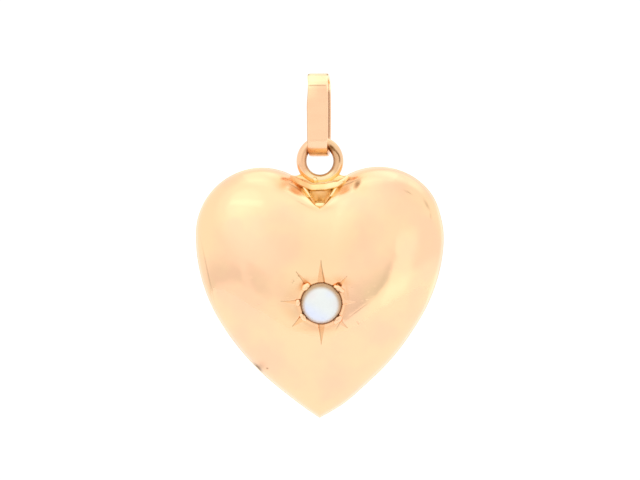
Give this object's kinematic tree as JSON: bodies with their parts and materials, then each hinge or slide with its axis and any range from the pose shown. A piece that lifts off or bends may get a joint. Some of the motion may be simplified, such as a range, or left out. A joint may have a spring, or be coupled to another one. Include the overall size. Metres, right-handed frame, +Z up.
{
  "type": "heart pendant with a star-set pearl",
  "caption": "Puffed hollow gold heart pendant with a pearl in an engraved star setting, an eye ring in the cleft and a folded strap bail.",
  "frame": {"origin": "inside of the bail's top bend, where a chain passes and the pendant hangs", "axes": "+Z up, -Y towards the viewer of the pearl's side, +X to that viewer's right"},
  "size_m": [0.022, 0.0097, 0.0307],
  "materials": {
    "heart_gold": "polished yellow gold",
    "pearl": "lustrous nacre",
    "bail_gold": "polished yellow gold"
  },
  "bodies": {
    "bail": {"bail": "bail_gold"},
    "heart": {"heart": "heart_gold", "pearl": "pearl"}
  },
  "joints": [
    {"name": "heart_swing", "type": "hinge", "parent": "bail", "child": "heart", "pos_m": [0, 0, -0.00581], "axis": [1, 0, 0], "range_deg": [-120, 120]}
  ]
}
